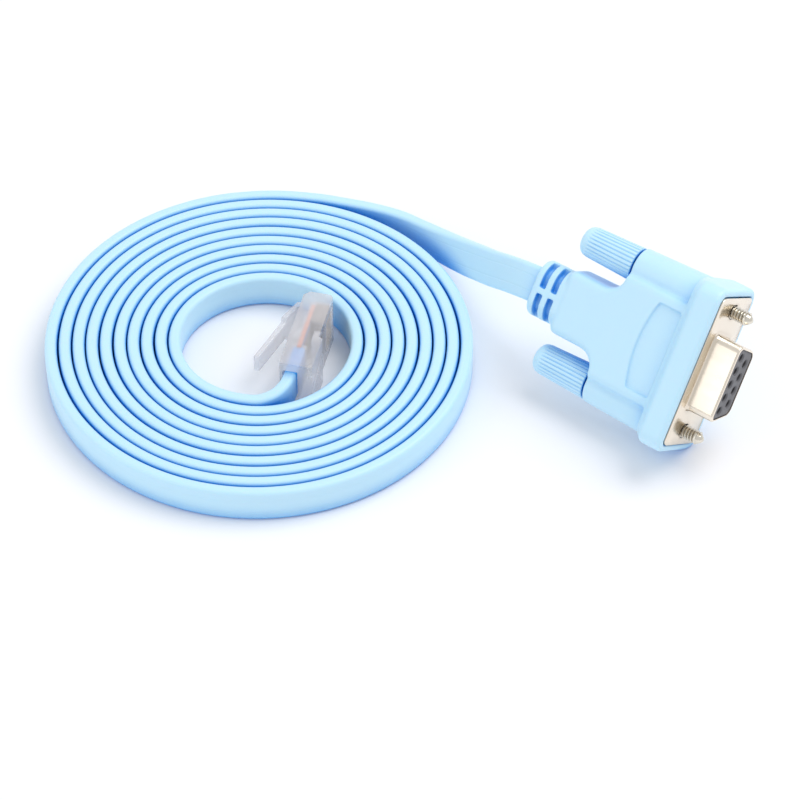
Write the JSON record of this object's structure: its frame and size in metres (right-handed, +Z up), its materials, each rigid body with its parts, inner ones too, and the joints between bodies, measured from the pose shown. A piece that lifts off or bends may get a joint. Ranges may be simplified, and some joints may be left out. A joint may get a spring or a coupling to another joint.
{
  "type": "console cable",
  "caption": "Flat light-blue console cable in a flat spiral coil, with a clear modular plug at its inner end and a moulded serial socket connector with thumbscrews at its outer end.",
  "frame": {"origin": "on the floor, under the middle of the nine-way connector's length and width", "axes": "+X is the way the nine-way connector plugs in, along its length; +Z is up from the floor the cable lies on; +Y completes the right-handed frame, with the coil on the -Y side"},
  "size_m": [0.1298, 0.095, 0.0351],
  "materials": {
    "blue_pvc": "soft satin",
    "nickel_shell": "bright nickel plate",
    "screw_steel": "nickel plated steel",
    "grey_insulator": "fine matt",
    "contact_metal": "gold plated",
    "clear_plastic": "clear polycarbonate"
  },
  "bodies": {
    "root": {"cable_coil": "blue_pvc", "cable_lead": "blue_pvc", "cable_tail": "blue_pvc", "plug_body": "clear_plastic", "plug_contact_1": "contact_metal", "plug_contact_2": "contact_metal", "plug_contact_3": "contact_metal", "plug_contact_4": "contact_metal", "plug_contact_5": "contact_metal", "plug_contact_6": "contact_metal", "plug_contact_7": "contact_metal", "plug_contact_8": "contact_metal", "moulded_hood": "blue_pvc", "front_shell": "nickel_shell", "socket_insulator": "grey_insulator", "socket_contact_1": "contact_metal", "socket_contact_2": "contact_metal", "socket_contact_3": "contact_metal", "socket_contact_4": "contact_metal", "socket_contact_5": "contact_metal", "socket_contact_6": "contact_metal", "socket_contact_7": "contact_metal", "socket_contact_8": "contact_metal", "socket_contact_9": "contact_metal"},
    "upper_thumbscrew": {"upper_screw": "screw_steel", "upper_screw_grip": "blue_pvc"},
    "lower_thumbscrew": {"lower_screw": "screw_steel", "lower_screw_grip": "blue_pvc"},
    "latch": {"plug_latch": "clear_plastic"}
  },
  "joints": [
    {"name": "upper_screw_turn", "type": "hinge", "parent": "root", "child": "upper_thumbscrew", "pos_m": [-0.0049, 0.00752, 0.02753], "axis": [1, 0, 0], "continuous": true},
    {"name": "lower_screw_turn", "type": "hinge", "parent": "root", "child": "lower_thumbscrew", "pos_m": [-0.0049, -0.00752, 0.00757], "axis": [1, 0, 0], "continuous": true},
    {"name": "latch_press", "type": "hinge", "parent": "root", "child": "latch", "pos_m": [-0.06237, -0.02429, 0.00584], "axis": [0, 0, 1], "range_deg": [0, 12], "stiffness_Nm_per_rad": 0.05}
  ]
}
